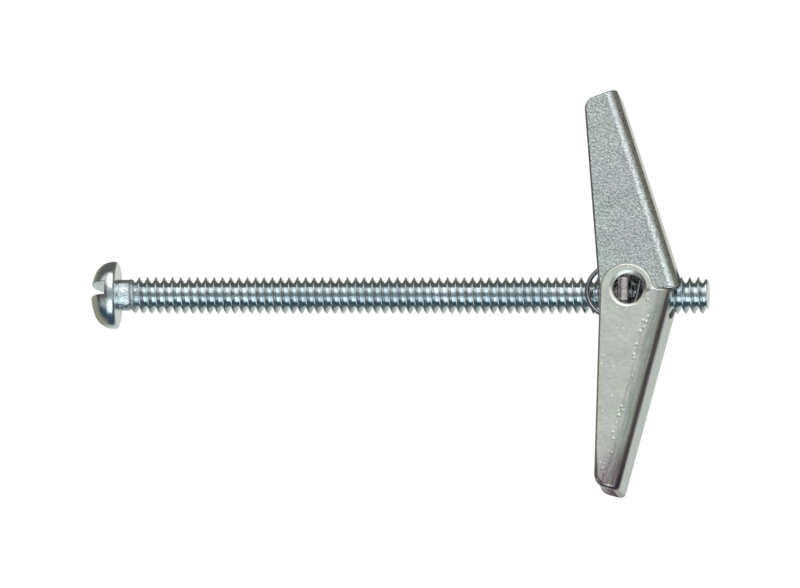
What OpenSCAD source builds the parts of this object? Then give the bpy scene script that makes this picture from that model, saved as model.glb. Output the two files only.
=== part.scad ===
// Spring toggle bolt: a slotted machine screw that carries a stamped nut with
// two trunnion tabs, a pair of folded sheet-metal wings that swing on the tabs,
// and a wire torsion spring that holds the wings open.
// Millimetres. The origin is the centre of the screw head's bearing face,
// +X runs along the screw to its tip, +Z runs along the wings' pivot axis.

/* [Machine screw] */
// Length under the head
screw_length = 76.2; // [50:0.1:150]
// Outside diameter of the thread
thread_d = 4.8; // [3.5:0.05:6.4]
// Diameter of the plain neck under the head
neck_d = 4; // [3:0.05:4.6]
// Length of the plain neck
neck_length = 2; // [1:0.1:6]
// Chamfer at both ends of the thread
thread_chamfer = 0.5; // [0.2:0.05:0.7]
// Diameter of the head
head_d = 8.65; // [7.6:0.05:11]
// Height of the head
head_height = 3.45; // [2.7:0.05:4]
// Radius of the head's flatter crown
crown_r = 7.5; // [6:0.1:12]
// Radius of the head's round shoulder
shoulder_r = 2.5; // [2:0.05:2.6]
// Small radius at the rim of the bearing face
rim_r = 0.3; // [0.1:0.05:0.4]
// Width of the driver slot
slot_width = 1.4; // [1:0.05:1.8]
// Depth of the driver slot
slot_depth = 2.15; // [1.4:0.05:2.3]
// How far the slot was cut off centre
slot_offset = 0.35; // [0:0.05:0.5]

/* [Trunnion nut] */
// Distance of the pivot axis from the screw's tip
pivot_from_tip = 9.8; // [6:0.1:40]
// Thickness of the nut plate and its tabs
nut_plate = 1.5; // [1:0.05:1.8]
// Wall left round the thread
nut_wall = 0.55; // [0.45:0.05:0.8]
// Length of the drawn collar on the plate's head side
collar_length = 2.1; // [1:0.1:2.4]
// How much smaller the collar is than the plate, on the radius
collar_step = 0.1; // [0.05:0.01:0.15]
// Width of a trunnion tab
tab_width = 3; // [2.4:0.05:3.4]
// Radius on the tab's long edges
tab_round = 0.25; // [0.15:0.05:0.4]
// How far a tab ends below the wings' outer face
tab_recess = 0.3; // [0.1:0.05:0.6]
// Running clearance of the screw in the nut, on the radius
thread_clearance = 0.05; // [0.02:0.01:0.1]
// Clearance of a tab in the wings' holes
tab_clearance = 0.04; // [0.02:0.01:0.1]

/* [Torsion spring] */
// Diameter of the wire
wire_d = 0.56; // [0.4:0.02:0.7]
// Mean diameter of the coil
coil_d = 6.56; // [6.2:0.02:7]
// Play between the coil and the tab that it hangs on
coil_play = 0.4; // [0.2:0.05:0.6]
// How far each leg reaches along its wing
leg_reach = 8.5; // [6:0.1:12]
// How far each leg leans in from the wall towards the middle
leg_lean_in = 1.1; // [0:0.1:1.6]
// Gap of the wire beside the screw
wire_gap = 0.095; // [0.05:0.005:0.15]
// Gap of the wire to the nut where it crosses over, and to the wings
crossing_gap = 0.35; // [0.25:0.05:0.45]
// Gap between a leg's end and the web that it pushes
leg_seat_gap = 0.05; // [0.02:0.01:0.1]

/* [Wings] */
// Thickness of the sheet
sheet = 0.8; // [0.6:0.05:1]
// Outer radius of the two bends
bend_r = 1.25; // [1.1:0.05:1.6]
// Angle between the bearing edge and the web
web_taper = 13.2; // [10:0.1:14]
// From the pivot to the bearing edge on the wall with the outer ear
bearing_outer = 3.65; // [3.45:0.05:3.8]
// From the pivot to the bearing edge on the wall with the inner ear
bearing_inner = 3.85; // [3.65:0.05:4]
// Radius of the round ears
ear_r = 3.45; // [3:0.05:3.45]
// How far an ear's centre lies along the wing from the pivot
ear_rise = 0.15; // [0:0.05:0.3]
// Hollow radius between an ear and the shoulder beside it
ear_fillet = 0.8; // [0.4:0.05:1]
// Diameter of the trunnion holes
hole_d = 4.1; // [3.5:0.05:5]
// Slant of a wing's end, longer at the web
end_slant = 15.5; // [8:0.5:25]
// Radius of the corner at the end of a bearing edge
end_corner = 1.6; // [0.8:0.1:2.2]
// Clearance of the half-round web notch to the thread
notch_clearance = 0.5; // [0.3:0.05:0.7]
// Gap between the nested walls of the two wings
wall_gap = 0.1; // [0.05:0.01:0.2]

/* [Upper wing] */
// Length of its bearing edge from the pivot
upper_length = 25.3; // [18:0.1:32]
// From the pivot to the back of its web
upper_reach = 6.4; // [5.8:0.05:6.6]
// How far its web runs past the pivot
upper_foot = 0.4; // [0:0.05:0.4]
// Lean towards the head when open
upper_lean = 5.8; // [5.6:0.1:9]

/* [Lower wing] */
// Length of its bearing edge from the pivot
lower_length = 25.5; // [18:0.1:32]
// From the pivot to the back of its web
lower_reach = 5.5; // [5.3:0.05:6.2]
// How far its web runs past the pivot
lower_foot = 0; // [0:0.05:0.05]
// Lean towards the head when open
lower_lean = 0.3; // [0.2:0.1:6]

/* [Hidden] */
$fn = 96;

// Overshoot of a cutting tool past the face that it opens
cut = 1;
thread_r = thread_d / 2;
pivot_x = screw_length - pivot_from_tip;

// Straight steps on each arc of the head's outline
head_steps = 12;
rim_steps = 4;

// Across the assembly: screw, wire and clearances set the wings' clear width
wire_r = wire_d / 2;
clear_half = thread_r + wire_d + 2 * wire_gap;
full_half = clear_half + 2 * sheet + wall_gap;
wing_width = 2 * full_half - sheet - wall_gap;
wing_shift = (sheet + wall_gap) / 2;

// The nut's plate runs from nut_back to nut_front along the screw, from the pivot
hole_r = hole_d / 2;
tab_corner_y = tab_width / 2 - tab_round;
nut_back = -tab_round - sqrt(pow(hole_r - tab_clearance - tab_round, 2) - pow(tab_corner_y, 2));
nut_front = nut_back + nut_plate;
nut_r = thread_r + thread_clearance + nut_wall;

// The coil hangs on the tabs and is drawn towards the head by its legs
coil_r = coil_d / 2;
coil_x = nut_front - tab_round
    - sqrt(pow(coil_r - wire_r - tab_round - coil_play, 2) - pow(tab_corner_y, 2));
coil_z = thread_r + wire_gap + wire_r;
crossing_r = nut_r + crossing_gap + wire_r;
crossing_from = 110;
crossing_to = 60;
arc_step = 8;
crossing_steps = 12;
leg_steps = 8;
wire_sides = 10;

function unit(v) = v / norm(v);

function smooth(u) = u * u * (3 - 2 * u);

// Where a leg's end rests inside a web, for the wing that points to +Y
function leg_tip(reach, lean) =
    let (slope = web_taper + lean, depth = reach - sheet - wire_r - leg_seat_gap)
    [(depth - leg_reach * sin(slope)) / cos(slope), leg_reach];

// The angle on the coil at which a straight leg from that end runs off
function run_off(tip) =
    let (v = tip - [coil_x, 0])
    atan2(v[1], v[0]) - acos(coil_r / norm(v));

function on_coil(angle, z, radius) =
    [coil_x + radius * cos(angle), radius * sin(angle), z];

// A leg's centre line from its end to its place on the coil, side +1 or -1 in Z
function leg_line(tip, side) =
    let (foot = on_coil(run_off(tip), 0, coil_r))
    [for (i = [0 : leg_steps - 1])
        let (u = i / leg_steps, y = tip[1] + (foot[1] - tip[1]) * u)
        [tip[0] + (foot[0] - tip[0]) * u, y,
            side * (coil_z - leg_lean_in * smooth(max(0, (y - nut_r) / (tip[1] - nut_r))))]];

function arc_line(from, to, z) =
    let (n = ceil(abs(to - from) / arc_step))
    [for (i = [0 : n]) on_coil(from + (to - from) * i / n, z, coil_r)];

function crossing_line() =
    [for (i = [1 : crossing_steps - 1])
        let (u = i / crossing_steps, lift = pow(sin(180 * u), 2))
        on_coil(crossing_from + (crossing_to - crossing_from) * u,
            coil_z * cos(180 * u), coil_r + (crossing_r - coil_r) * lift)];

function flip_y(p) = [p[0], -p[1], p[2]];

function backwards(line) = [for (i = [len(line) - 1 : -1 : 0]) line[i]];

// The whole wire: the upper wing's leg, the near turn, the crossing over the
// nut, the far quarter turn and the lower wing's leg
function spring_line() =
    let (
        upper_tip = leg_tip(upper_reach, upper_lean),
        lower_tip = leg_tip(lower_reach, lower_lean),
        near_turn = arc_line(run_off(upper_tip), crossing_from - 360, coil_z),
        far_turn = arc_line(crossing_to, -run_off(lower_tip), -coil_z)
    )
    concat(
        leg_line(upper_tip, 1),
        near_turn,
        crossing_line(),
        far_turn,
        backwards([for (p = leg_line(lower_tip, -1)) flip_y(p)])
    );

function tangent(line, i) =
    unit(line[min(i + 1, len(line) - 1)] - line[max(i - 1, 0)]);

function wire_ring(line, i) =
    let (
        t = tangent(line, i),
        outward = [line[i][0] - coil_x, line[i][1], 0],
        b = unit(cross(t, outward)),
        n = cross(b, t)
    )
    [for (k = [0 : wire_sides - 1])
        let (a = 360 * k / wire_sides)
        line[i] + wire_r * (cos(a) * n + sin(a) * b)];

module wire(line) {
    last = len(line) - 1;
    points = [for (i = [0 : last]) each wire_ring(line, i)];
    sides = [for (i = [0 : last - 1], k = [0 : wire_sides - 1])
        let (j = (k + 1) % wire_sides, a = i * wire_sides, b = a + wire_sides)
        [a + k, b + k, b + j, a + j]];
    start = [for (k = [0 : wire_sides - 1]) k];
    finish = [for (k = [wire_sides - 1 : -1 : 0]) last * wire_sides + k];
    polyhedron(points = points, faces = concat([start], sides, [finish]), convexity = 6);
}

// Turns a profile drawn with X along the screw and Y as the radius
module turned() {
    rotate([0, 90, 0])
        rotate([0, 0, 90])
            rotate_extrude()
                rotate([0, 0, 90])
                    mirror([0, 1, 0])
                        children();
}

function arc(centre, radius, from, to, steps) =
    [for (i = [0 : steps])
        let (a = from + (to - from) * i / steps)
        centre + radius * [cos(a), sin(a)]];

// The flat crown runs tangent into the round shoulder, and that to the rim
function head_outline() =
    let (
        crown = [crown_r - head_height, 0],
        shoulder_y = head_d / 2 - shoulder_r,
        meet = asin(shoulder_y / (crown_r - shoulder_r)),
        shoulder = [crown[0] - (crown_r - shoulder_r) * cos(meet), shoulder_y],
        rim = [-rim_r, head_d / 2 - rim_r],
        step = (90 - meet) / head_steps
    )
    concat(
        arc(crown, crown_r, 180, 180 - meet, head_steps),
        arc(shoulder, shoulder_r, 180 - meet - step, 90, head_steps - 1),
        arc(rim, rim_r, 90, 0, rim_steps)
    );

function shank_outline() = [
    [0, neck_d / 2],
    [neck_length, neck_d / 2],
    [neck_length + thread_chamfer, thread_r],
    [screw_length - thread_chamfer, thread_r],
    [screw_length, thread_r - thread_chamfer],
    [screw_length, 0]
];

module machine_screw() {
    color("lightsteelblue")
        difference() {
            turned()
                polygon(concat(head_outline(), shank_outline()));
            translate([-head_height - cut, slot_offset - slot_width / 2, -head_d])
                cube([slot_depth + cut, slot_width, 2 * head_d]);
        }
}

module tab_profile() {
    translate([nut_back, -tab_corner_y])
        square([nut_plate, 2 * tab_corner_y]);
    translate([nut_back + tab_round, -tab_width / 2])
        square([nut_plate - 2 * tab_round, tab_width]);
    for (x = [nut_back + tab_round, nut_front - tab_round], y = [-tab_corner_y, tab_corner_y])
        translate([x, y])
            circle(r = tab_round);
}

module trunnion_nut() {
    tab_half = full_half - tab_recess;
    color("silver")
        translate([pivot_x, 0, 0])
            difference() {
                union() {
                    translate([nut_back, 0, 0])
                        rotate([0, 90, 0])
                            cylinder(r = nut_r, h = nut_plate);
                    translate([nut_back - collar_length, 0, 0])
                        rotate([0, 90, 0])
                            cylinder(r = nut_r - collar_step, h = collar_length + nut_plate / 2);
                    translate([0, 0, -tab_half])
                        linear_extrude(2 * tab_half)
                            tab_profile();
                }
                translate([nut_back - collar_length - cut, 0, 0])
                    rotate([0, 90, 0])
                        cylinder(r = thread_r + thread_clearance, h = collar_length + nut_plate + 2 * cut);
            }
}

module torsion_spring() {
    color("dimgray")
        translate([pivot_x, 0, 0])
            wire(spring_line());
}

// Side view of one wall with its ear, pivot at the origin, wing along +Y
module wall_profile(bearing, length, reach, foot) {
    slope = tan(end_slant);
    corner_y = length + (bearing_outer - bearing) * slope;
    web_end_x = (reach - (length + bearing_outer * slope) * sin(web_taper))
        / (cos(web_taper) + slope * sin(web_taper));
    web_end_y = length + (web_end_x + bearing_outer) * slope;
    web_foot_x = (reach + foot * sin(web_taper)) / cos(web_taper);
    ear_x = ear_r - bearing;
    fillet_x = ear_x + sqrt(pow(ear_r + ear_fillet, 2) - pow(ear_rise + foot + ear_fillet, 2));
    corner_turn = (90 - end_slant) / 2;
    corner_run = end_corner * tan(corner_turn);
    difference() {
        union() {
            polygon([
                [-bearing, ear_rise],
                [-bearing, corner_y],
                [web_end_x, web_end_y],
                [web_foot_x, -foot],
                [ear_x, -foot]
            ]);
            translate([ear_x, ear_rise])
                circle(r = ear_r);
            difference() {
                polygon([
                    [ear_x, ear_rise],
                    [fillet_x, -foot],
                    [fillet_x, -foot - ear_fillet]
                ]);
                translate([fillet_x, -foot - ear_fillet])
                    circle(r = ear_fillet);
            }
        }
        difference() {
            polygon([
                [-bearing - cut, corner_y - corner_run],
                [-bearing - cut, corner_y + cut],
                [-bearing + corner_run * cos(end_slant), corner_y + cut],
                [-bearing + corner_run * cos(end_slant), corner_y + corner_run * sin(end_slant)],
                [-bearing + end_corner, corner_y - corner_run]
            ]);
            translate([-bearing + end_corner, corner_y - corner_run])
                circle(r = end_corner);
        }
    }
}

// Section of the folded channel: X is depth from the pivot, Y runs across
module channel_section(reach) {
    half = wing_width / 2;
    inner_r = bend_r - sheet;
    depth = 3 * bearing_inner + reach;
    difference() {
        union() {
            translate([reach - depth, -half])
                square([depth - bend_r, wing_width]);
            translate([reach - bend_r - cut, bend_r - half])
                square([bend_r + cut, wing_width - 2 * bend_r]);
            for (y = [bend_r - half, half - bend_r])
                translate([reach - bend_r, y])
                    circle(r = bend_r);
        }
        translate([reach - depth - cut, sheet - half])
            square([depth + cut - bend_r, wing_width - 2 * sheet]);
        translate([reach - bend_r - cut, bend_r - half])
            square([inner_r + cut, wing_width - 2 * bend_r]);
        for (y = [bend_r - half, half - bend_r])
            translate([reach - bend_r, y])
                circle(r = inner_r);
    }
}

// One wing with its pivot at the origin, pointing to +Y, inner ear on the +Z side
module wing(length, reach, foot) {
    run = 2 * length;
    difference() {
        intersection() {
            translate([0, 0, -wing_shift])
                rotate([0, 0, web_taper])
                    translate([0, run, 0])
                        rotate([90, 0, 0])
                            linear_extrude(2 * run)
                                channel_section(reach);
            union() {
                translate([0, 0, -full_half - cut])
                    linear_extrude(full_half + cut)
                        wall_profile(bearing_outer, length, reach, foot);
                linear_extrude(full_half + cut)
                    wall_profile(bearing_inner, length, reach, foot);
            }
        }
        translate([0, 0, -full_half - cut])
            cylinder(r = hole_r, h = 2 * (full_half + cut));
        web_notch(reach, foot);
    }
}

module web_notch(reach, foot) {
    notch_r = thread_r + notch_clearance;
    translate([reach / 2, 0, 0])
        rotate([0, 90, 0])
            cylinder(r = notch_r, h = reach);
    translate([reach / 2, -foot - cut, -notch_r])
        cube([reach, foot + cut, 2 * notch_r]);
}

module upper_wing() {
    color("gainsboro")
        translate([pivot_x, 0, 0])
            rotate([0, 0, upper_lean])
                wing(upper_length, upper_reach, upper_foot);
}

module lower_wing() {
    color("lightgray")
        translate([pivot_x, 0, 0])
            rotate([0, 0, -lower_lean])
                rotate([180, 0, 0])
                    wing(lower_length, lower_reach, lower_foot);
}

machine_screw();
trunnion_nut();
torsion_spring();
upper_wing();
lower_wing();
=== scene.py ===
"""Looks of a spring toggle bolt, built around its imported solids.

The frame's origin is the centre of the screw head's bearing face. +X runs
along the screw to its tip, +Y along the open upper wing and +Z along the
wings' pivot axis, away from the floor. Blender works in metres; the sizes in
this file are in millimetres and degrees unless a name says otherwise.
"""

import logging
import math
from dataclasses import dataclass, field
from enum import Enum

import bmesh
import bpy
from mathutils import Matrix, Vector


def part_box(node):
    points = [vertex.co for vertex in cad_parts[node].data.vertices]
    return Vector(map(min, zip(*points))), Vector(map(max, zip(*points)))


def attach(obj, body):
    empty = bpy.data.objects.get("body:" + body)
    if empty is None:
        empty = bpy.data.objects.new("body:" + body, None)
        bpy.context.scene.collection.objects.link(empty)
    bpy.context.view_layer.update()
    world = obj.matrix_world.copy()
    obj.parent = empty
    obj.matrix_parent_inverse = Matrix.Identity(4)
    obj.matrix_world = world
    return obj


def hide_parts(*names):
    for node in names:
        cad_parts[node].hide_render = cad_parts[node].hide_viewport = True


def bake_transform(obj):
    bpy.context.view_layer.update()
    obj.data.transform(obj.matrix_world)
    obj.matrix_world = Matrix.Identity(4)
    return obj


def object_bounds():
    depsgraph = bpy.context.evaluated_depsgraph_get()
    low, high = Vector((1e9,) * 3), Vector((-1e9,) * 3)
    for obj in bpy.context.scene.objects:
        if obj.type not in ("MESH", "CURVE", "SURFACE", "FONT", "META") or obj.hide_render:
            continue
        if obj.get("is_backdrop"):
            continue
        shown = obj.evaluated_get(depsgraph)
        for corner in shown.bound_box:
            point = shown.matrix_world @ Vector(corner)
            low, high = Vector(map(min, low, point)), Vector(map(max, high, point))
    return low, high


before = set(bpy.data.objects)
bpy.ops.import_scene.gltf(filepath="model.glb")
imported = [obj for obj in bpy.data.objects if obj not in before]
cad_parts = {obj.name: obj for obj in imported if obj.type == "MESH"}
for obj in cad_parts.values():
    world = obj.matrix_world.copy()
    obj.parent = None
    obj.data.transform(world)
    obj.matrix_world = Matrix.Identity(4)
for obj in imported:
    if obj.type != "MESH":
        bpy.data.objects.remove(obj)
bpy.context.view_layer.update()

MM = 0.001
PIVOT_X = 66.4  # where the wings' pivot axis crosses the screw
NEAR = 0.001  # how near two places count as one
SHARP = 35.0  # the least angle of a sharp edge
EDGE_WEIGHT = "bevel_weight_edge"
LOG = logging.getLogger("toggle_bolt")

Colour = tuple[float, float, float]
Place = tuple[float, float, float]
Range = tuple[float, float]
Outline = list[tuple[float, float]]
Band = tuple[tuple[float, ...], Colour]
Socket = bpy.types.NodeSocket
Material = bpy.types.Material
Piece = bpy.types.Object
Mesh = bmesh.types.BMesh
Edge = bmesh.types.BMEdge

WHITE: Colour = (1.0, 1.0, 1.0)
FULL: Range = (0.0, 1.0)


class Body(Enum):
    """The rigid bodies of the assembly, by their names in the frame."""

    SCREW = "screw"
    NUT = "nut"
    UPPER_WING = "upper_wing"
    LOWER_WING = "lower_wing"


def new_piece(name: str, bm: Mesh, material: Material) -> Piece:
    """Turns a finished bmesh into a smooth object at the origin.

    Args:
        name: The object's name.
        bm: The shape, in metres. It is freed.
        material: What the whole object wears.

    Returns:
        The object, linked to the scene.
    """
    for face in bm.faces:
        face.smooth = True
    mesh = bpy.data.meshes.new(name)
    bm.to_mesh(mesh)
    bm.free()
    piece = bpy.data.objects.new(name, mesh)
    bpy.context.scene.collection.objects.link(piece)
    mesh.materials.append(material)
    return piece


def cad_copy(node: str, flat: float = 0.6) -> Mesh:
    """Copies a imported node's mesh with its triangles joined into whole faces.

    Args:
        node: The node's name.
        flat: The angle under which two faces count as one; 0 joins none.

    Returns:
        The copy, in metres.
    """
    bm = bmesh.new()
    bm.from_mesh(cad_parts[node].data)
    bmesh.ops.remove_doubles(bm, verts=bm.verts, dist=NEAR / 2 * MM)
    if flat > 0:
        least = math.radians(flat)
        bmesh.ops.dissolve_limit(bm, angle_limit=least, verts=bm.verts, edges=bm.edges, delimit=set())
    return bm


def spun(outline: Outline, steps: int, advance: float = 0.0) -> Mesh:
    """Spins an outline once about the screw's axis.

    Args:
        outline: Its points, as places along the axis and radii.
        steps: How many steps the turn has.
        advance: How far the turn carries it along; 0 closes it on itself.

    Returns:
        The new mesh, in metres.
    """
    bm = bmesh.new()
    chain = [bm.verts.new((x * MM, r * MM, 0)) for x, r in outline]
    edges = [bm.edges.new(pair) for pair in zip(chain, chain[1:])]
    bmesh.ops.spin(
        bm, geom=chain + edges, cent=(0, 0, 0), axis=(1, 0, 0), angle=math.tau, steps=steps,
        dvec=(advance / steps * MM, 0, 0), use_merge=advance == 0,
    )
    return bm


def arc(centre: tuple[float, float], radius: float, start: float, end: float, steps: int) -> Outline:
    """Lists the points of an arc.

    Args:
        centre: Its centre, as a place along the axis and a radius.
        radius: Its own radius.
        start: The direction of its first point, in radians from the axis.
        end: The direction of its last point.
        steps: How many steps it has.

    Returns:
        The points, both ends among them.
    """
    turns = [start + (end - start) * step / steps for step in range(steps + 1)]
    return [(centre[0] + radius * math.cos(t), centre[1] + radius * math.sin(t)) for t in turns]


def ease(value: float, start: float, end: float) -> float:
    """Goes softly from 0 at a start to 1 at an end."""
    share = min(1.0, max(0.0, (value - start) / (end - start)))
    return share * share * (3 - 2 * share)


def sharp_edges(bm: Mesh, angle: float = SHARP) -> list[Edge]:
    """Lists the edges at which two faces meet at more than an angle."""
    least = math.radians(angle)
    return [e for e in bm.edges if len(e.link_faces) == 2 and e.calc_face_angle(0) > least]


def open_edges(bm: Mesh) -> list[Edge]:
    """Lists the edges around a mesh's openings."""
    return [edge for edge in bm.edges if edge.is_boundary]


def lies_at(edge: Edge, axis: int, place: float) -> bool:
    """Tells whether both ends of an edge are at a place along an axis."""
    return all(abs(vert.co[axis] / MM - place) < NEAR for vert in edge.verts)


def cut_across(bm: Mesh, point: Place, normal: Place, clear: bool = False) -> None:
    """Cuts the whole mesh along a plane.

    Args:
        bm: The mesh.
        point: A point on the plane, in millimetres.
        normal: The plane's normal.
        clear: Whether what lies on the normal's side is taken away.
    """
    bmesh.ops.bisect_plane(
        bm, geom=bm.verts[:] + bm.edges[:] + bm.faces[:], plane_co=Vector(point) * MM,
        plane_no=normal, dist=NEAR / 10 * MM, clear_outer=clear,
    )


def finish_edges(piece: Piece, width: float, segments: int) -> None:
    """Rounds a piece's weighted edges and keeps its flats flat.

    Args:
        piece: The piece, with a bevel weight on each edge to round.
        width: The rounding at a weight of 1, in millimetres.
        segments: How many steps a rounding has.
    """
    bevel = piece.modifiers.new("rounded_edges", "BEVEL")
    bevel.limit_method = "WEIGHT"
    bevel.width = width * MM
    bevel.segments = segments
    bevel.use_clamp_overlap = False
    bevel.loop_slide = False
    normals = piece.modifiers.new("flat_faces", "WEIGHTED_NORMAL")
    normals.mode = "FACE_AREA"
    normals.weight = 100
    normals.keep_sharp = True


def stand_in(name: str, bm: Mesh, finish: "ZincFinish | SheetZincFinish", node: str,
             body: Body) -> Piece:
    """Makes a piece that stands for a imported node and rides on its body.

    Args:
        name: The piece's name.
        bm: The shape, in metres. It is freed.
        finish: What the piece wears.
        node: The node that it replaces.
        body: The body that it rides on.

    Returns:
        The piece.
    """
    piece = new_piece(name, bm, finish.material())
    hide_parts(node)
    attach(piece, body.value)
    return piece


class NodeGraph:
    """A tree of shader nodes, with a short call for each kind that is needed."""

    def __init__(self, tree: bpy.types.NodeTree) -> None:
        """Takes over a tree and empties it."""
        self.tree = tree
        self.tree.nodes.clear()

    def node(self, kind: str, **settings: object) -> bpy.types.Node:
        """Adds a node.

        Args:
            kind: The node's type.
            settings: Its properties, by name.

        Returns:
            The new node.
        """
        made = self.tree.nodes.new(kind)
        for key, value in settings.items():
            setattr(made, key, value)
        return made

    def link(self, source: Socket, target: Socket) -> None:
        """Joins two sockets."""
        self.tree.links.new(source, target)

    def apart(self, vector: Socket) -> tuple[Socket, Socket, Socket]:
        """Takes a vector apart.

        Args:
            vector: The vector.

        Returns:
            Its X, Y and Z.
        """
        made = self.node("ShaderNodeSeparateXYZ")
        self.link(vector, made.inputs["Vector"])
        return tuple(made.outputs)

    def blend(self, operation: str, first: Socket, second: Socket | None = None) -> Socket:
        """Works one value out of one or two.

        Args:
            operation: What is done with them, such as MAXIMUM.
            first: The first value.
            second: The second value, if the operation takes one.

        Returns:
            The result.
        """
        made = self.node("ShaderNodeMath", operation=operation)
        self.link(first, made.inputs[0])
        if second is not None:
            self.link(second, made.inputs[1])
        return made.outputs["Value"]

    def product(self, first: Socket, *others: Socket) -> Socket:
        """Multiplies values."""
        for other in others:
            first = self.blend("MULTIPLY", first, other)
        return first

    def span(self, value: Socket, source: Range = FULL, target: Range = FULL,
             kind: str = "LINEAR") -> Socket:
        """Maps a value from one range to another, held at both ends.

        Args:
            value: The value.
            source: The range that it comes from.
            target: The range that it goes to.
            kind: The way between the ends.

        Returns:
            The mapped value.
        """
        made = self.node("ShaderNodeMapRange", clamp=True, interpolation_type=kind)
        for name, number in zip(("From Min", "From Max", "To Min", "To Max"), (*source, *target)):
            made.inputs[name].default_value = number
        self.link(value, made.inputs["Value"])
        return made.outputs["Result"]

    def step(self, place: Socket, off: float, on: float) -> Socket:
        """Goes from 0 to 1 between two places in millimetres, in either order."""
        return self.span(place, (off * MM, on * MM))

    def ramp(self, value: Socket, stops: list[tuple[float, Colour]]) -> Socket:
        """Turns a value into a colour.

        Args:
            value: The value.
            stops: The places of the colours, from 0 to 1.

        Returns:
            The colour.
        """
        made = self.node("ShaderNodeValToRGB")
        while len(made.color_ramp.elements) < len(stops):
            made.color_ramp.elements.new(0.5)
        for element, (position, colour) in zip(made.color_ramp.elements, stops):
            element.position = position
            element.color = (*colour, 1)
        self.link(value, made.inputs["Fac"])
        return made.outputs["Color"]

    def fade(self, value: Socket, source: Range, first: Colour, second: Colour) -> Socket:
        """Goes from one colour to another as a value rises through a range."""
        return self.ramp(value, [(source[0], first), (source[1], second)])

    def mix(self, first: Socket, second: Socket, share: Socket | None = None) -> Socket:
        """Goes from one colour to another by a share, or multiplies them if there is none.

        Args:
            first: The first colour.
            second: The second colour.
            share: How far to go, from 0 to 1.

        Returns:
            The new colour.
        """
        made = self.node("ShaderNodeMix", data_type="RGBA")
        if share is None:
            made.blend_type = "MULTIPLY"
            made.inputs["Factor"].default_value = 1.0
        else:
            self.link(share, made.inputs["Factor"])
        self.link(first, made.inputs["A"])
        self.link(second, made.inputs["B"])
        return made.outputs["Result"]


class Metal(NodeGraph):
    """A metal's node tree, with patterns on Object coordinates."""

    def __init__(self, name: str) -> None:
        """Makes a material with a metal shader and an output.

        Args:
            name: The material's name.
        """
        self.material = bpy.data.materials.new(name)
        self.material.use_nodes = True
        super().__init__(self.material.node_tree)
        self.shader = self.node("ShaderNodeBsdfPrincipled")
        self.shader.inputs["Metallic"].default_value = 1.0
        output = self.node("ShaderNodeOutputMaterial")
        self.link(self.shader.outputs["BSDF"], output.inputs["Surface"])
        self.place = self.node("ShaderNodeTexCoord").outputs["Object"]

    def turned(self, angle: float, *stretch: float) -> Socket:
        """Gives the place seen from the pivot axis, turned about Z and stretched.

        Args:
            angle: The direction that becomes the new X, in degrees from the old.
            stretch: How much longer a pattern gets along each new direction.

        Returns:
            The new place, to read a pattern at.
        """
        turn = Matrix.Rotation(math.radians(-angle), 3, "Z")
        moved = self.node("ShaderNodeMapping", vector_type="POINT")
        moved.inputs["Rotation"].default_value = (0, 0, math.radians(-angle))
        moved.inputs["Location"].default_value = -(turn @ Vector((PIVOT_X, 0, 0))) * MM
        self.link(self.place, moved.inputs["Vector"])
        scaled = self.node("ShaderNodeMapping", vector_type="POINT")
        scaled.inputs["Scale"].default_value = tuple(1 / s for s in stretch)
        self.link(moved.outputs["Vector"], scaled.inputs["Vector"])
        return scaled.outputs["Vector"]

    def noise(
        self, size: float, detail: float = 2.0, roughness: float = 0.5, place: Socket | None = None
    ) -> Socket:
        """Adds a noise.

        Args:
            size: Size of its largest blots, in millimetres.
            detail: How many finer octaves it has.
            roughness: How strong they are.
            place: Where it is read, if not at the piece's own place.

        Returns:
            The noise's value, from 0 to 1.
        """
        made = self.node("ShaderNodeTexNoise")
        made.inputs["Scale"].default_value = 1 / (size * MM)
        made.inputs["Detail"].default_value = detail
        made.inputs["Roughness"].default_value = roughness
        self.link(place or self.place, made.inputs["Vector"])
        return made.outputs["Fac"]

    def nicks(self, cell: float, share: float, radius: float, place: Socket) -> Socket:
        """Adds small round nicks strewn over the surface.

        Args:
            cell: The mean distance between places for a nick, in millimetres.
            share: The share of those places that have one.
            radius: A nick's radius, in millimetres.
            place: Where they are read.

        Returns:
            1 in the middle of a nick and 0 outside.
        """
        cells = self.node("ShaderNodeTexVoronoi")
        cells.inputs["Scale"].default_value = 1 / (cell * MM)
        self.link(place, cells.inputs["Vector"])
        near = self.span(cells.outputs["Distance"], (0.0, radius / cell), (1.0, 0.0))
        parts = self.node("ShaderNodeSeparateColor")
        self.link(cells.outputs["Color"], parts.inputs["Color"])
        just_over = share + 0.01
        return self.product(near, self.span(parts.outputs["Red"], (share, just_over), (1.0, 0.0)))

    def dressed(
        self, colour: Socket, rough: Socket, layers: list[tuple[Socket, float]]
    ) -> Material:
        """Gives the metal its colour, roughness and relief.

        Args:
            colour: The metal's colour.
            rough: Its roughness.
            layers: The heights of its relief with their depths in millimetres, lowest first.

        Returns:
            The finished material.
        """
        self.link(colour, self.shader.inputs["Base Color"])
        self.link(rough, self.shader.inputs["Roughness"])
        target = self.shader.inputs["Normal"]
        for height, depth in reversed(layers):
            made = self.node("ShaderNodeBump")
            made.inputs["Strength"].default_value = 1.0
            made.inputs["Distance"].default_value = depth * MM
            self.link(height, made.inputs["Height"])
            self.link(made.outputs["Normal"], target)
            target = made.inputs["Normal"]
        return self.material


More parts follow.
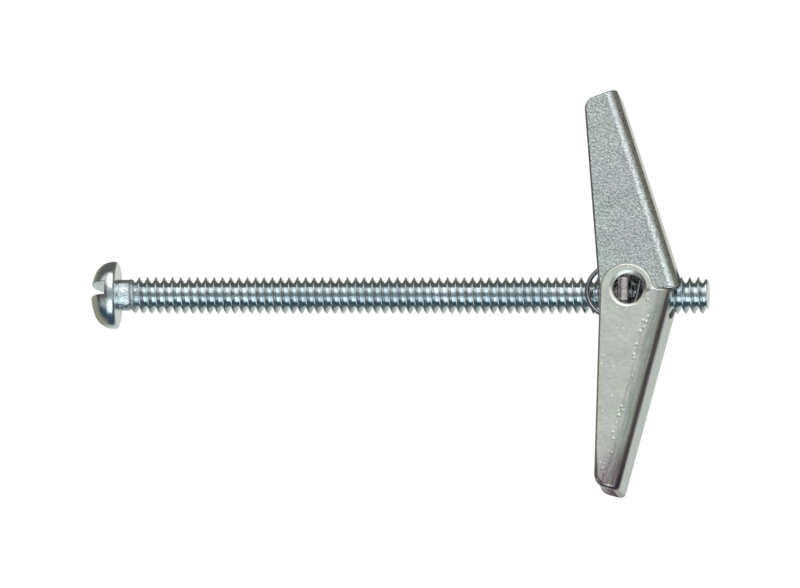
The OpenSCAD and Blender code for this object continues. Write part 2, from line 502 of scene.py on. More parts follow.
@dataclass(frozen=True)
class ZincFinish:
    """Electroplated zinc on steel: tiny crystals, soft stains and a thin tinted skin.

    Attributes:
        spread: The values of the noises that the colours lie between.
        speck_shade: The share of the colour that dark crystals keep.
        rough_swing: How much the stains change the roughness either way.
        uneven: Where each uneven skin starts and ends along the piece, and its depth.
    """

    name: str
    slot: str
    dark: Colour
    light: Colour
    grain: float
    grain_depth: float
    roughness: float
    stain_and_shade: float = 5.0
    spread: Range = (0.35, 0.65)
    speck_shade: float = 0.84
    rough_span: Range = (0.3, 0.7)
    rough_swing: float = 0.05
    lump: float = 1.5
    lump_depth: float = 0.0
    uneven: tuple[tuple[float, float, float], ...] = ()
    uneven_size: float = 0.55
    uneven_rise: float = 0.3
    uneven_fall: float = 0.8

    def material(self) -> Material:
        """Builds the material.

        Returns:
            The material.
        """
        sheet = Metal(self.name)
        crystals = sheet.noise(self.grain, detail=3.0, roughness=0.6)
        stains = sheet.noise(self.stain_and_shade, detail=3.0, roughness=0.55)
        tint = sheet.fade(stains, self.spread, self.dark, self.light)
        specks = sheet.span(crystals, self.spread, (self.speck_shade, 1.0))
        swing = (self.roughness + self.rough_swing, self.roughness - self.rough_swing)
        rough = sheet.span(stains, self.rough_span, swing)
        lumps = sheet.noise(self.lump, roughness=0.6)
        layers = [(lumps, self.lump_depth), (crystals, self.grain_depth)]
        layers += [(self.uneven_skin(sheet, low, high), depth) for low, high, depth in self.uneven]
        return sheet.dressed(sheet.mix(tint, specks), rough, layers)

    def uneven_skin(self, sheet: Metal, low: float, high: float) -> Socket:
        """Adds the uneven skin that heading and the run-out of the rolling dies leave.

        Args:
            sheet: The metal's node tree.
            low: Where the skin starts along the piece, in millimetres.
            high: Where it ends.

        Returns:
            The skin's height, from 0 to 1.
        """
        along = sheet.apart(sheet.place)[0]
        rise = sheet.step(along, low, low + self.uneven_rise)
        fall = sheet.step(along, high, high - self.uneven_fall)
        return sheet.product(rise, fall, sheet.noise(self.uneven_size, detail=3.0, roughness=0.7))


@dataclass(frozen=True)
class FoldZones:
    """The zones of a folded wing, each 1 inside and 0 outside.

    Attributes:
        bend: The bends and the web between them.
        chain: The line where a wall goes over into its bend.
        beside: The bends and the wall close to them.
    """

    walls: Socket
    bend: Socket
    chain: Socket
    web: Socket
    beside: Socket
    tip: Socket


@dataclass(frozen=True)
class SheetZincFinish:
    """Zinc on folded sheet: sandy crystals, cool and warm stains, drawn streaks and nicks,
    with painted shade along the bends and beside them towards the tip, and painted highlights
    on the web and the nicks.

    Attributes:
        darkest: The share of the colour that the darkest crystals keep.
        web_angle: The direction that the web faces, from +X.
        bend_shares: The bend's start, its line of nicks and its end, in bend_widths.
        streak_shade: The share of the colour that the drawn streaks keep on the bends, where they paint
            shade.
        painted_web_sheen: The tint of the web's outer face, a painted highlight.
        stain_and_shade: The tint of the painted shade beside the bends towards the tip.
        through: How far a nick reaches through the sheet, in its own widths.
        pale: The tint of the nicks, a painted highlight.
    """

    name: str
    slot: str
    cool: Colour
    warm: Colour
    grain: float
    grain_depth: float
    roughness: float
    darkest: float
    nick_share: float
    web_angle: float
    web_from_pivot: float
    bend_width: float
    bend_shares: tuple[float, float, float] = (1.5, 1.15, 0.95)
    tint_size: float = 5.0
    tint_span: Range = (0.38, 0.62)
    speck_span: Range = (0.35, 0.65)
    wave_depth: float = 0.05
    streak_size: float = 0.25
    streak_length: float = 16.0
    streak_shade_span: Range = (0.3, 0.65)
    streak_depth: float = 0.012
    # How much colour the streaks keep on the bends, where they paint shade.
    streak_shade: float = 0.85
    # Painted highlight on the web's outer face: its tint, and the insets from the web's edge that bound
    # it.
    painted_web_sheen: Colour = (1.2, 1.18, 1.16)
    web_sheen_edge: Range = (0.25, 0.05)
    # Painted shade beside the bends towards the tip: its tint, where it starts and how far it fades,
    # how far beside the bends it reaches, and the range of its mask.
    stain_and_shade: Colour = WHITE
    tip_shade_from: float = 19.0
    tip_shade_fade: float = 6.0
    tip_shade_beside: float = 0.9
    tip_shade_span: Range = (0.0, 0.5)
    through: float = 20.0
    nick_cell: float = 0.8
    nick_r: float = 0.17
    nick_depth: float = 0.02
    chain_cell: float = 0.7
    chain_share: float = 0.75
    chain_r: float = 0.28
    chain_depth: float = 0.0
    # Painted highlight on the nicks: its tint, the range of the nick mask that carries it, and how much
    # rougher the nicks get.
    pale: Colour = (1.32, 1.32, 1.38)
    pale_span: Range = (0.15, 0.45)
    pale_rough: float = 0.4

    def zones(self, sheet: Metal) -> FoldZones:
        """Marks the zones of the folded sheet.

        Args:
            sheet: The metal's node tree.

        Returns:
            The zones.
        """
        across, along, _ = sheet.apart(sheet.turned(self.web_angle, 1, 1, 1))
        edge = self.web_from_pivot
        start, middle, end = (edge - share * self.bend_width for share in self.bend_shares)
        inner, outer = (edge - inset for inset in self.web_sheen_edge)
        bend = sheet.step(across, start, middle)
        web = sheet.step(across, inner, outer)
        wide = sheet.step(across, start - self.tip_shade_beside, middle)
        reach = sheet.blend("ABSOLUTE", along)
        return FoldZones(
            walls=sheet.step(across, middle, start),
            bend=bend,
            chain=sheet.blend("SUBTRACT", bend, sheet.step(across, middle, end)),
            web=web,
            beside=sheet.blend("SUBTRACT", wide, web),
            tip=sheet.step(reach, self.tip_shade_from, self.tip_shade_from + self.tip_shade_fade),
        )

    def material(self) -> Material:
        """Builds the material.

        Returns:
            The material.
        """
        sheet = Metal(self.name)
        zones = self.zones(sheet)
        crystals = sheet.noise(self.grain, roughness=0.65)
        lengthwise = sheet.turned(self.web_angle, 1, self.streak_length, 1)
        streaks = sheet.noise(self.streak_size, place=lengthwise)
        drawn = sheet.product(streaks, zones.bend)
        through = sheet.turned(self.web_angle, 1, 1, self.through)
        nicks = sheet.nicks(self.nick_cell, self.nick_share, self.nick_r, through)
        strewn = sheet.product(nicks, zones.walls)
        nicks = sheet.nicks(self.chain_cell, self.chain_share, self.chain_r, through)
        chained = sheet.product(nicks, zones.chain)
        pale = sheet.span(sheet.blend("MAXIMUM", strewn, chained), self.pale_span)

        tints = sheet.noise(self.tint_size, detail=4.0, roughness=0.6)
        colour = sheet.fade(tints, self.tint_span, self.cool, self.warm)
        # Mask for the painted shade beside the bends towards the tip.
        tip_shade = sheet.product(zones.tip, zones.beside, streaks)
        for tint in (
            sheet.span(crystals, self.speck_span, (self.darkest, 1.0)),
            # Painted shade along the bends, carried by the drawn streaks.
            sheet.span(drawn, self.streak_shade_span, (1.0, self.streak_shade)),
            # Painted shade beside the bends towards the tip.
            sheet.fade(tip_shade, self.tip_shade_span, WHITE, self.stain_and_shade),
            # Painted highlight on the web's outer face.
            sheet.fade(zones.web, FULL, WHITE, self.painted_web_sheen),
            # Painted highlight on the nicks.
            sheet.fade(pale, FULL, WHITE, self.pale),
        ):
            colour = sheet.mix(colour, tint)
        rough = sheet.span(pale, FULL, (self.roughness, self.roughness + self.pale_rough))
        return sheet.dressed(colour, rough, [
            (sheet.noise(self.tint_size, detail=1.0), self.wave_depth),
            (crystals, self.grain_depth),
            (strewn, self.nick_depth),
            (chained, self.chain_depth),
            (drawn, self.streak_depth),
        ])


SCREW_ZINC = ZincFinish(
    name="screw_zinc", slot="screw_zinc", dark=(0.74, 0.80, 0.83), light=(0.86, 0.91, 0.93),
    grain=0.35, grain_depth=0.012, roughness=0.16, lump=1.4, lump_depth=0.03,
    uneven=((-3.6, -1.2, 0.06), (0.0, 2.9, 0.2)),
)
NUT_ZINC = ZincFinish(
    name="nut_zinc", slot="nut_zinc", dark=(0.5, 0.44, 0.44), light=(0.76, 0.73, 0.73),
    grain=0.3, grain_depth=0.02, roughness=0.24, stain_and_shade=2.0, lump=0.8, lump_depth=0.05,
)
SPRING_STEEL = ZincFinish(
    name="spring_wire", slot="spring_wire", dark=(0.3, 0.3, 0.33), light=(0.46, 0.46, 0.5),
    grain=0.4, grain_depth=0.006, roughness=0.2, stain_and_shade=2.0,
)
UPPER_ZINC = SheetZincFinish(
    name="upper_wing_zinc", slot="wing_zinc", cool=(0.78, 0.84, 0.81), warm=(0.79, 0.78, 0.82),
    grain=0.26, grain_depth=0.02, roughness=0.22, darkest=0.45, nick_share=0.04,
    web_angle=19.0, web_from_pivot=6.4, bend_width=1.6,
)
LOWER_ZINC = SheetZincFinish(
    name="lower_wing_zinc", slot="wing_zinc", cool=(0.73, 0.755, 0.68), warm=(0.73, 0.715, 0.68),
    grain=0.5, grain_depth=0.008, roughness=0.26, darkest=0.88, nick_share=0.22,
    # The lower wing gets darker painted shade on its bends, painted shade beside them towards its tip,
    # and a brighter painted highlight on its web.
    web_angle=-13.5, web_from_pivot=5.5, bend_width=1.9, streak_shade=0.74, chain_depth=0.06,
    stain_and_shade=(0.6, 0.45, 0.55), painted_web_sheen=(1.3, 1.28, 1.33),
)


@dataclass
class MachineScrew:
    """The slotted round-head screw with its rolled thread.

    Attributes:
        fade_from: Where the thread starts to rise out of the neck, up to fade_to.
        first_crest: The place of a crest on the side of +Y.
        turns_before: How many turns before that crest the winding starts.
        soft: How far the thread's corners are rounded.
        profile_steps: The steps of the crown, the shoulder, the rim and the fillet.
        slot_offset: How far the driver slot lies from the axis, towards +Y.
    """

    pitch: float = 1.0776
    major_r: float = 2.37
    root_r: float = 1.56
    neck_r: float = 2.0
    neck_start: float = 0.16
    fade_from: float = 1.2
    fade_to: float = 2.6
    first_crest: float = 2.69
    turns_before: int = 4
    tip_chamfer: float = 0.5
    crest_flat: float = 0.07
    root_flat: float = 0.1
    soft: float = 0.03
    steps: int = 36
    head_r: float = 4.325
    crown_r: float = 7.5
    shoulder_r: float = 2.5
    rim_r: float = 0.42
    fillet_r: float = 0.11
    head_steps: int = 128
    profile_steps: tuple[int, int, int, int] = (16, 20, 8, 5)
    slot_width: float = 1.65
    slot_depth: float = 2.15
    slot_offset: float = 0.225
    slot_edge: float = 0.1
    slot_angle: float = 30.0
    crease_angle: float = 50.0
    length: float = field(init=False)
    head_height: float = field(init=False)
    slot_floor: float = field(init=False)

    def __post_init__(self) -> None:
        """Reads the overall sizes from the frame."""
        low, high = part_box("machine_screw")
        self.length = high.x / MM
        self.head_height = -low.x / MM
        self.slot_floor = self.slot_depth - self.head_height

    def thread_profile(self) -> Outline:
        """Draws one pitch of the thread, from root to root.

        Returns:
            Its points, as places from the crest along the screw and radii.
        """
        half = self.pitch / 2
        crest, root = self.crest_flat / 2, half - self.root_flat / 2
        soft = self.soft
        rise = (self.major_r - self.root_r) / (root - crest)
        right = [
            (0.0, self.major_r),
            (crest, self.major_r - soft / 3),
            (crest + soft, self.major_r - soft * rise),
            ((crest + root) / 2, (self.major_r + self.root_r) / 2),
            (root - soft * 2, self.root_r + soft * 2 * rise),
            (root, self.root_r + soft),
            (half, self.root_r),
        ]
        left = [(-x, r) for x, r in reversed(right[1:])]
        return left + right

    def thread(self) -> Mesh:
        """Winds the thread from the head to the tip.

        Returns:
            The thread, open at both ends.
        """
        start = self.first_crest - self.turns_before * self.pitch
        outline = [(start + x, r) for x, r in self.thread_profile()]
        bm = spun(outline, self.steps, advance=self.pitch)
        turn = bm.verts[:] + bm.edges[:] + bm.faces[:]
        for count in range(1, math.ceil((self.length - start) / self.pitch) + 1):
            copy = bmesh.ops.duplicate(bm, geom=turn)["geom"]
            verts = [item for item in copy if isinstance(item, bmesh.types.BMVert)]
            bmesh.ops.translate(bm, verts=verts, vec=(count * self.pitch * MM, 0, 0))
        bmesh.ops.remove_doubles(bm, verts=bm.verts, dist=2 * NEAR * MM)
        cut_across(bm, (self.neck_start, 0, 0), (-1, 0, 0), clear=True)
        cut_across(bm, (self.length, 0, 0), (1, 0, 0), clear=True)
        for vert in bm.verts:
            self.shape_end(vert)
        return bm

    def shape_end(self, vert: bmesh.types.BMVert) -> None:
        """Fades the thread out at the neck and chamfers it at the tip.

        Args:
            vert: A point of the thread, which is moved.
        """
        x = vert.co.x / MM
        radius = math.hypot(vert.co.y, vert.co.z) / MM
        wanted = self.neck_r + (radius - self.neck_r) * ease(x, self.fade_from, self.fade_to)
        wanted = min(wanted, self.major_r - self.tip_chamfer + (self.length - x))
        vert.co.y *= wanted / radius
        vert.co.z *= wanted / radius

    def head_profile(self) -> Outline:
        """Draws the head from the crown's apex over the rim to the neck.

        Returns:
            Its points, as places along the screw and radii.
        """
        upright = math.pi / 2
        shoulder_y = self.head_r - self.shoulder_r
        meet = math.asin(shoulder_y / (self.crown_r - self.shoulder_r))
        crown_x = self.crown_r - self.head_height
        shoulder_x = crown_x - (self.crown_r - self.shoulder_r) * math.cos(meet)
        rim_centre = (-self.rim_r, self.head_r - self.rim_r)
        fillet_centre = (self.fillet_r, self.neck_r + self.fillet_r)
        steps = self.profile_steps
        crown = arc((crown_x, 0), self.crown_r, math.pi, math.pi - meet, steps[0])
        shoulder = arc((shoulder_x, shoulder_y), self.shoulder_r, math.pi - meet, upright, steps[1])
        rim = arc(rim_centre, self.rim_r, upright, 0, steps[2])
        fillet = arc(fillet_centre, self.fillet_r, math.pi, 3 * upright, steps[3])
        return crown[:-1] + shoulder + rim + fillet

    def cut_slot(self, bm: Mesh) -> None:
        """Opens the driver slot across the head and gives it its walls and floor.

        Args:
            bm: The head.
        """
        low = self.slot_offset - self.slot_width / 2
        high = self.slot_offset + self.slot_width / 2
        floor = self.slot_floor
        cut_across(bm, (0, low, 0), (0, 1, 0))
        cut_across(bm, (0, high, 0), (0, 1, 0))
        cut_across(bm, (floor, 0, 0), (1, 0, 0))
        middles = [(face, face.calc_center_median() / MM) for face in bm.faces]
        gone = [face for face, at in middles if at.x < floor and low < at.y < high]
        bmesh.ops.delete(bm, geom=gone, context="FACES")
        rims = [e for e in open_edges(bm) if all(v.co.x / MM < floor + NEAR for v in e.verts)]
        floor_loop = [edge for edge in rims if lies_at(edge, 0, floor)]
        for y in (low, high):
            wall = [edge for edge in rims if lies_at(edge, 1, y)]
            ends = [v for edge in wall for v in edge.verts if abs(v.co.x / MM - floor) < NEAR]
            wall.append(bm.edges.new(ends))
            floor_loop.append(wall[-1])
            bmesh.ops.contextual_create(bm, geom=wall)
        bmesh.ops.contextual_create(bm, geom=floor_loop)

    def weigh_slot(self, bm: Mesh) -> None:
        """Marks the slot's edges, to be rounded."""
        weight = bm.edges.layers.float.new(EDGE_WEIGHT)
        for edge in sharp_edges(bm, self.slot_angle):
            if all(v.co.x / MM < self.slot_floor + NEAR for v in edge.verts):
                edge[weight] = 1.0

    def build(self) -> list[Piece]:
        """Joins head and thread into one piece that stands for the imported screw.

        Returns:
            The piece.
        """
        bm = spun(self.head_profile(), self.head_steps)
        bmesh.ops.remove_doubles(bm, verts=bm.verts, dist=NEAR * MM)
        self.cut_slot(bm)
        thread = self.thread()
        scrap = bpy.data.meshes.new("thread")
        thread.to_mesh(scrap)
        thread.free()
        bm.from_mesh(scrap)
        bpy.data.meshes.remove(scrap)
        middle = self.length * MM / 2
        neck = [edge for edge in open_edges(bm) if edge.verts[0].co.x < middle]
        tip = [edge for edge in open_edges(bm) if edge.verts[0].co.x > middle]
        bmesh.ops.bridge_loops(bm, edges=neck)
        bmesh.ops.contextual_create(bm, geom=tip)
        bmesh.ops.recalc_face_normals(bm, faces=bm.faces)
        self.weigh_slot(bm)
        piece = stand_in("slotted_screw", bm, SCREW_ZINC, "machine_screw", Body.SCREW)
        piece.data.set_sharp_from_angle(angle=math.radians(self.crease_angle))
        finish_edges(piece, self.slot_edge, segments=2)
        return [piece]


@dataclass
class SheetWing:
    """One folded sheet-metal wing: a tapered channel with round ears.

    Attributes:
        middle_z: The place of the channel's middle along the pivot axis.
        soft_bend: The radius that the upper bend gets in place of bend_r.
        narrowed: How far the far wall's fold is drawn in at the tip.
        shortened: How far the far wall's end is drawn in.
        end_edge: The rounding of the outer edges at the tip, past end_from.
        outer_edge: The rounding of the other outer edges. Inner edges get inner_share
            of it, and edges through the sheet corner_share.
        lip: How far a hole's rolled edge is drawn over the hole; it dips by lip_dip more.
        skin: How deep a point may lie to count as on a skin.
        fold_reach: How far from the web the drawing in of the far wall fades out.
    """

    body: Body
    finish: SheetZincFinish
    middle_z: float
    soft_bend: float
    narrowed: float
    shortened: float
    end_edge: float = 0.3
    outer_edge: float = 0.3
    inner_share: float = 0.35
    corner_share: float = 0.5
    edge_steps: int = 4
    half_width: float = 4.4
    sheet: float = 0.8
    bend_r: float = 1.25
    bend_steps: int = 4
    hole_r: float = 2.05
    roll_width: float = 0.75
    roll_depth: float = 0.2
    roll_power: float = 1.6
    roll_steps: int = 10
    roll_fit: float = 0.01
    lip: float = 0.1
    lip_dip: float = 0.12
    lip_power: float = 8.0
    skin: float = 0.1
    fold_reach: float = 3.2
    root_y: float = 6.0
    end_from: float = 23.9
    tip_y: float = 25.0
    notch_reach: float = 3.2
    notch_from: float = 3.6

    def outward(self) -> Vector:
        """Gives the direction that the web faces."""
        angle = math.radians(self.finish.web_angle)
        return Vector((math.cos(angle), math.sin(angle), 0.0))

    def under_skins(self, point: Vector) -> tuple[float, float]:
        """Tells how far a point lies under the outer skins.

        Args:
            point: The point, in metres.

        Returns:
            How far it lies under the web's and the nearer wall's skin, in millimetres.
        """
        x, y, z = point / MM
        out = Vector((x - PIVOT_X, y, 0.0)).dot(self.outward())
        return self.finish.web_from_pivot - out, self.half_width - abs(z - self.middle_z)

    def depth_in_sheet(self, point: Vector) -> float:
        """Tells how far a point lies under the folded sheet's outer skin.

        Args:
            point: The point, in metres.

        Returns:
            Its depth, in millimetres.
        """
        under_web, under_wall = self.under_skins(point)
        if max(under_web, under_wall) < self.bend_r:
            return self.bend_r - math.hypot(self.bend_r - under_web, self.bend_r - under_wall)
        return min(under_web, under_wall)

    def from_pivot(self, point: Vector) -> float:
        """Gives a point's distance from the pivot axis, in millimetres."""
        return math.hypot(point.x / MM - PIVOT_X, point.y / MM)

    def at_notch(self, edge: Edge) -> bool:
        """Tells whether an edge is at the web's notch, where the fold leaves no room to round."""
        return all(
            abs(v.co.y) < self.notch_reach * MM and self.from_pivot(v.co) > self.notch_from
            for v in edge.verts
        )

    def at_rim(self, point: Vector) -> bool:
        """Tells whether a point is on a hole's outer edge."""
        off = abs(self.from_pivot(point) - self.hole_r)
        return off < 2 * self.roll_fit and self.depth_in_sheet(point) < self.skin

    def roll_holes(self, bm: Mesh) -> None:
        """Rolls the punched holes' outer edges in, wide and shallow.

        Args:
            bm: The wing.
        """
        rims = [edge for edge in sharp_edges(bm) if all(self.at_rim(v.co) for v in edge.verts)]
        bmesh.ops.bevel(
            bm, geom=rims, offset=self.roll_width * MM, offset_type="OFFSET", affect="EDGES",
            segments=self.roll_steps, profile=0.5, material=-1, clamp_overlap=True,
        )
        deepest = self.roll_width + self.roll_fit
        for vert in bm.verts:
            reach = self.from_pivot(vert.co)
            run = reach - self.hole_r
            if -self.roll_fit < run < self.roll_width and NEAR < self.depth_in_sheet(vert.co) < deepest:
                share = 1 - max(0.0, run) / self.roll_width
                rolled = self.roll_depth * share**self.roll_power
                rolled += self.lip_dip * share**self.lip_power
                side = math.copysign(1, vert.co.z / MM - self.middle_z)
                drawn_in = (reach - self.lip * share * share) / reach
                vert.co.x = (PIVOT_X + (vert.co.x / MM - PIVOT_X) * drawn_in) * MM
                vert.co.y *= drawn_in
                vert.co.z = (self.middle_z + side * (self.half_width - rolled)) * MM

    def weigh_edges(self, bm: Mesh) -> None:
        """Marks how far each sharp edge is to be rounded, in millimetres.

        Args:
            bm: The wing, with its holes rolled.
        """
        weight = bm.edges.layers.float.new(EDGE_WEIGHT)
        for edge in sharp_edges(bm):
            depths = [self.depth_in_sheet(v.co) for v in edge.verts]
            if max(self.from_pivot(v.co) for v in edge.verts) < self.hole_r + self.roll_width:
                continue
            if max(depths) < self.skin:
                at_end = min(abs(v.co.y) for v in edge.verts) > self.end_from * MM
                edge[weight] = self.end_edge if at_end else self.outer_edge
            elif not self.at_notch(edge):
                inner = min(depths) > self.sheet - self.skin
                edge[weight] = self.outer_edge * (self.inner_share if inner else self.corner_share)

    def soften_bend(self, bm: Mesh) -> None:
        """Gives the upper bend a wider radius and keeps the sheet's thickness.

        Args:
            bm: The wing.
        """
        out = self.outward()
        for step in range(1, self.bend_steps + 1):
            under = self.bend_r + (self.soft_bend - self.bend_r) * step / self.bend_steps
            place = out * (self.finish.web_from_pivot - under)
            cut_across(bm, (PIVOT_X + place.x, place.y, 0), tuple(out))
            wall_z = self.middle_z + self.half_width - under
            cut_across(bm, (PIVOT_X, 0, wall_z), (0, 0, 1))
        for vert in bm.verts:
            under_web, under_wall = self.under_skins(vert.co)
            if max(under_web, under_wall) < self.soft_bend and vert.co.z / MM > self.middle_z:
                across = Vector((under_web - self.soft_bend, under_wall - self.soft_bend))
                across *= (self.soft_bend - self.depth_in_sheet(vert.co)) / across.length
                vert.co -= out * (self.soft_bend + across.x - under_web) * MM
                vert.co.z -= (self.soft_bend + across.y - under_wall) * MM

    def narrow_tip(self, bm: Mesh) -> None:
        """Draws the far wall's fold in towards the wing's tip, but not the wall's free edge.

        Args:
            bm: The wing.
        """
        for vert in bm.verts:
            under_web = self.under_skins(vert.co)[0]
            fold = 1 - min(1.0, max(0.0, under_web / self.fold_reach))
            y, z = vert.co.y / MM, vert.co.z / MM
            far = (self.middle_z + self.half_width - z) / (2 * self.half_width)
            amount = ease(abs(y), self.root_y, self.tip_y) * far
            vert.co.z += self.narrowed * amount * fold * MM
            vert.co.y -= math.copysign(self.shortened * amount, y) * MM

    def build(self) -> list[Piece]:
        """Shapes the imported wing's folds and edges and dresses it.

        Returns:
            The piece.
        """
        bm = cad_copy(self.body.value)
        self.roll_holes(bm)
        self.weigh_edges(bm)
        self.soften_bend(bm)
        self.narrow_tip(bm)
        node = self.body.value
        piece = stand_in(f"{node}_sheet", bm, self.finish, node, self.body)
        finish_edges(piece, 1.0, self.edge_steps)
        return [piece]


@dataclass
class TrunnionNut:
    """The stamped nut with its collar and its two crowned tabs.

    Attributes:
        crown: How far the sides of a tab's outer face lie under its middle.
        fit: How near to the tabs' ends a point counts as on them.
    """

    edge: float = 0.12
    edge_steps: int = 3
    crown: float = 0.34
    cuts: int = 8
    fit: float = 0.01

    def crown_tabs(self, bm: Mesh) -> None:
        """Bows the outer faces of the tabs across the screw.

        Args:
            bm: The nut.
        """
        face_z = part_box("trunnion_nut")[1].z - self.fit * MM
        ends = [vert.co.x for vert in bm.verts if abs(vert.co.z) > face_z]
        middle, half = (max(ends) + min(ends)) / 2, (max(ends) - min(ends)) / 2
        for cut in range(1, self.cuts):
            cut_across(bm, ((middle + half * (2 * cut / self.cuts - 1)) / MM, 0, 0), (1, 0, 0))
        for vert in bm.verts:
            if abs(vert.co.z) > face_z:
                share = (vert.co.x - middle) / half
                vert.co.z -= math.copysign(self.crown * share * share * MM, vert.co.z)

    def build(self) -> list[Piece]:
        """Rounds the stamped edges and dresses the nut.

        Returns:
            The piece.
        """
        bm = cad_copy("trunnion_nut")
        weight = bm.edges.layers.float.new(EDGE_WEIGHT)
        for edge in sharp_edges(bm):
            edge[weight] = 1.0
        self.crown_tabs(bm)
        piece = stand_in("stamped_nut", bm, NUT_ZINC, "trunnion_nut", Body.NUT)
        finish_edges(piece, self.edge, self.edge_steps)
        return [piece]


@dataclass
class TorsionSpring:
    """The wire spring, in two halves that meet where the wire crosses over the nut.

    Attributes:
        turn_from: Where a half would start to turn with its wing, up to turn_to, along the screw
        from the pivot axis. Not used.
        flat_join: The angle under which two triangles are joined, in radians.
    """

    turn_from: float = -1.0
    turn_to: float = 1.0
    swell: float = 0.045
    flat_join: float = 0.7

    def half(self, name: str, side: int, wing: Body) -> Piece:
        """Makes one half of the spring.

        Args:
            name: The piece's name.
            side: 1 for the half above the crossing, -1 for the one below.
            wing: The wing that the half's leg pushes. Not used.

        Returns:
            The finished half.
        """
        bm = cad_copy("torsion_spring", flat=0)
        bmesh.ops.join_triangles(
            bm, faces=bm.faces,
            angle_face_threshold=self.flat_join, angle_shape_threshold=self.flat_join,
        )
        cut_across(bm, (0, 0, 0), (0, 0, -side), clear=True)
        bmesh.ops.contextual_create(bm, geom=open_edges(bm))
        bmesh.ops.recalc_face_normals(bm, faces=bm.faces)
        bm.normal_update()
        for vert in bm.verts:
            vert.co += vert.normal * self.swell * MM
        piece = new_piece(name, bm, SPRING_STEEL.material())
        round_wire = piece.modifiers.new("round_wire", "SUBSURF")
        round_wire.levels = round_wire.render_levels = 1
        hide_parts("torsion_spring")
        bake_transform(piece)
        return piece

    def build(self) -> list[Piece]:
        """Makes both halves."""
        lower = self.half("spring_lower_half", -1, Body.LOWER_WING)
        return [lower, self.half("spring_upper_half", 1, Body.UPPER_WING)]


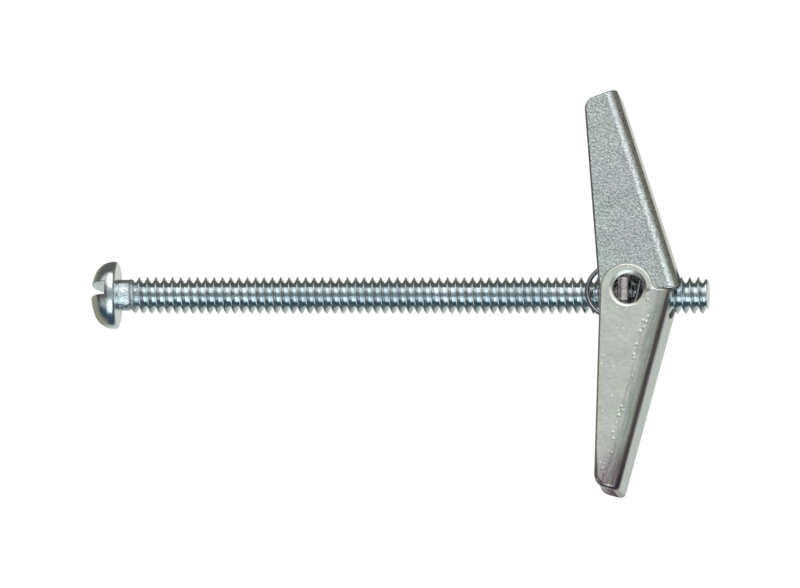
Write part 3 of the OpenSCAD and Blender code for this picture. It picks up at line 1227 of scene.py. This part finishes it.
@dataclass
class Studio:
    """The camera, the white sweep that the part lies on and the soft lights around it.

    Attributes:
        width_seen: How wide the camera sees at the place that it aims at.
        ahead: Where a direction's X takes the light on to the next part of the room.
    """

    toward_camera: Place = (0.1305, -0.1980, 0.9715)
    distance: float = 3000.0
    width_seen: float = 102.47
    sensor: float = 36.0
    clip_metres: Range = (0.01, 100.0)
    aim: Place = (36.43, 0.169, 0.0)
    floor_gap: float = 0.05
    sweep_r: float = 6000.0
    sweep_segments: int = 48
    sweep_glow: float = 1.05
    ahead: tuple[Range, ...] = ((-0.95, -0.8), (-0.44, -0.2), (0.25, 0.93), (0.93, 0.99))
    upper_light: Colour = (1.72, 1.78, 1.8)
    lower_light: Colour = (1.6, 1.78, 1.86)
    half_light: Colour = (0.52, 0.56, 0.55)
    between: Colour = (0.29, 0.38, 0.4)
    teal: Colour = (0.2, 0.27, 0.3)
    low_dusk: Colour = (0.05, 0.08, 0.11)
    high_dusk: Colour = (0.12, 0.125, 0.12)
    below: Colour = (0.62, 0.66, 0.63)
    floor: Colour = (0.6, 0.66, 0.63)
    face_light: Colour = (0.48, 0.52, 0.5)
    cream: Colour = (0.76, 0.75, 0.69)
    sand: Colour = (0.34, 0.33, 0.25)
    plum: Colour = (0.13, 0.105, 0.125)
    night: Colour = (0.055, 0.038, 0.048)
    mauve: Colour = (0.085, 0.06, 0.075)
    grey: Colour = (0.27, 0.27, 0.22)

    def camera(self) -> None:
        """Places the camera."""
        data = bpy.data.cameras.new("camera")
        data.sensor_width = self.sensor
        data.lens = self.sensor * self.distance / self.width_seen
        data.clip_start, data.clip_end = self.clip_metres
        camera = bpy.data.objects.new("camera", data)
        bpy.context.scene.collection.objects.link(camera)
        back = Vector(self.toward_camera).normalized()
        right = Vector((1, 0, 0))
        right = (right - back * right.dot(back)).normalized()
        up = back.cross(right)
        turn = Matrix((right, up, back)).transposed().to_4x4()
        place = Vector(self.aim) * MM + back * self.distance * MM
        camera.matrix_world = Matrix.Translation(place) @ turn
        bpy.context.scene.camera = camera

    def sweep(self) -> None:
        """Lays a white floor that curves up into a white surround, plain to the camera only."""
        bm = bmesh.new()
        columns, rows = self.sweep_segments, self.sweep_segments // 2
        bmesh.ops.create_uvsphere(bm, u_segments=columns, v_segments=rows, radius=self.sweep_r * MM)
        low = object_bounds()[0].z - self.floor_gap * MM
        for vert in bm.verts:
            vert.co.z = max(vert.co.z, low)
        bmesh.ops.remove_doubles(bm, verts=bm.verts, dist=MM)
        bmesh.ops.reverse_faces(bm, faces=bm.faces)
        paper = bpy.data.materials.new("sweep_paper")
        paper.use_nodes = True
        graph = NodeGraph(paper.node_tree)
        glow = graph.node("ShaderNodeEmission")
        glow.inputs["Color"].default_value = (*WHITE, 1)
        glow.inputs["Strength"].default_value = self.sweep_glow
        output = graph.node("ShaderNodeOutputMaterial")
        graph.link(glow.outputs["Emission"], output.inputs["Surface"])
        floor = new_piece("white_sweep", bm, paper)
        floor.visible_diffuse = floor.visible_glossy = floor.visible_shadow = False
        floor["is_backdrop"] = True

    def room(self) -> tuple[tuple[Range, tuple[Band, ...]], ...]:
        """Gives the bands of light, part by part from past the head to past the tip.

        Returns:
            For each part the range of its places and its bands: by the height of a
            direction at the ends, and by its angle from +Z towards +Y between them.
        """
        turn, height = (-180, 180), FULL
        return (
            (height, (((0.0, 0.46), self.sand), ((0.56, 0.68), self.night), ((0.82,), self.plum))),
            (turn, (
                ((-180, -130), self.sand), ((-100, -66), self.low_dusk), ((-46,), self.half_light),
                ((-28,), self.grey), ((-14, 14), self.plum), ((26,), self.grey),
                ((38, 62), self.cream), ((76, 124), self.high_dusk), ((150,), self.sand),
            )),
            (turn, (
                ((-180,), self.floor), ((-160, -144), self.below), ((-128, -80), self.low_dusk),
                ((-65, -34), self.lower_light), ((-19, -6), self.between),
                ((7, 12), self.face_light), ((22, 60), self.upper_light),
                ((78, 146), self.high_dusk), ((160, 167), self.cream), ((171,), self.floor),
            )),
            (turn, (
                ((-180,), self.mauve), ((-96,), self.low_dusk), ((-74,), self.teal),
                ((-45, -22), self.half_light), ((-12,), self.grey), ((0, 25), self.half_light),
                ((42, 128), self.grey), ((160,), self.mauve),
            )),
            (height, (
                ((0.0, 0.16), self.below), ((0.32,), self.plum), ((0.4, 0.52), self.night),
                ((0.64,), self.grey), ((1.0,), self.between),
            )),
        )

    def light(self) -> None:
        """Surrounds the part with two long soft lights along the screw, dusk and a pale floor."""
        world = bpy.data.worlds.new("studio")
        bpy.context.scene.world = world
        world.use_nodes = True
        sky = NodeGraph(world.node_tree)
        along, side, up = sky.apart(sky.node("ShaderNodeTexCoord").outputs["Generated"])
        height = sky.span(up, (-1.0, 1.0), kind="SMOOTHSTEP")
        turn = sky.span(sky.blend("ARCTAN2", side, up), (-math.pi, math.pi))

        parts = []
        for (low, high), bands in self.room():
            value = height if (low, high) == FULL else turn
            stops = [((place - low) / (high - low), tint) for places, tint in bands for place in places]
            parts.append(sky.ramp(value, stops))
        whole = parts[0]
        for window, following in zip(self.ahead, parts[1:]):
            whole = sky.mix(whole, following, sky.span(along, window, kind="SMOOTHSTEP"))
        background = sky.node("ShaderNodeBackground")
        sky.link(whole, background.inputs["Color"])
        output = sky.node("ShaderNodeOutputWorld")
        sky.link(background.outputs["Background"], output.inputs["Surface"])

    def build(self) -> None:
        """Makes the whole studio."""
        self.camera()
        self.sweep()
        self.light()
        bpy.context.scene.view_settings.view_transform = "Standard"


def main() -> None:
    """Builds the toggle bolt and its studio."""
    logging.basicConfig(level=logging.INFO, format="%(name)s: %(message)s")
    Studio().build()
    makers = (
        MachineScrew(),
        TrunnionNut(),
        TorsionSpring(),
        SheetWing(Body.UPPER_WING, UPPER_ZINC, middle_z=-0.45, soft_bend=1.6, narrowed=0.9,
                  shortened=0.0),
        SheetWing(Body.LOWER_WING, LOWER_ZINC, middle_z=0.45, soft_bend=1.9, narrowed=0.1,
                  shortened=0.4, end_edge=0.6),
    )
    for maker in makers:
        for piece in maker.build():
            LOG.info("%s: %d faces", piece.name, len(piece.data.polygons))


if __name__ == "__main__":
    main()
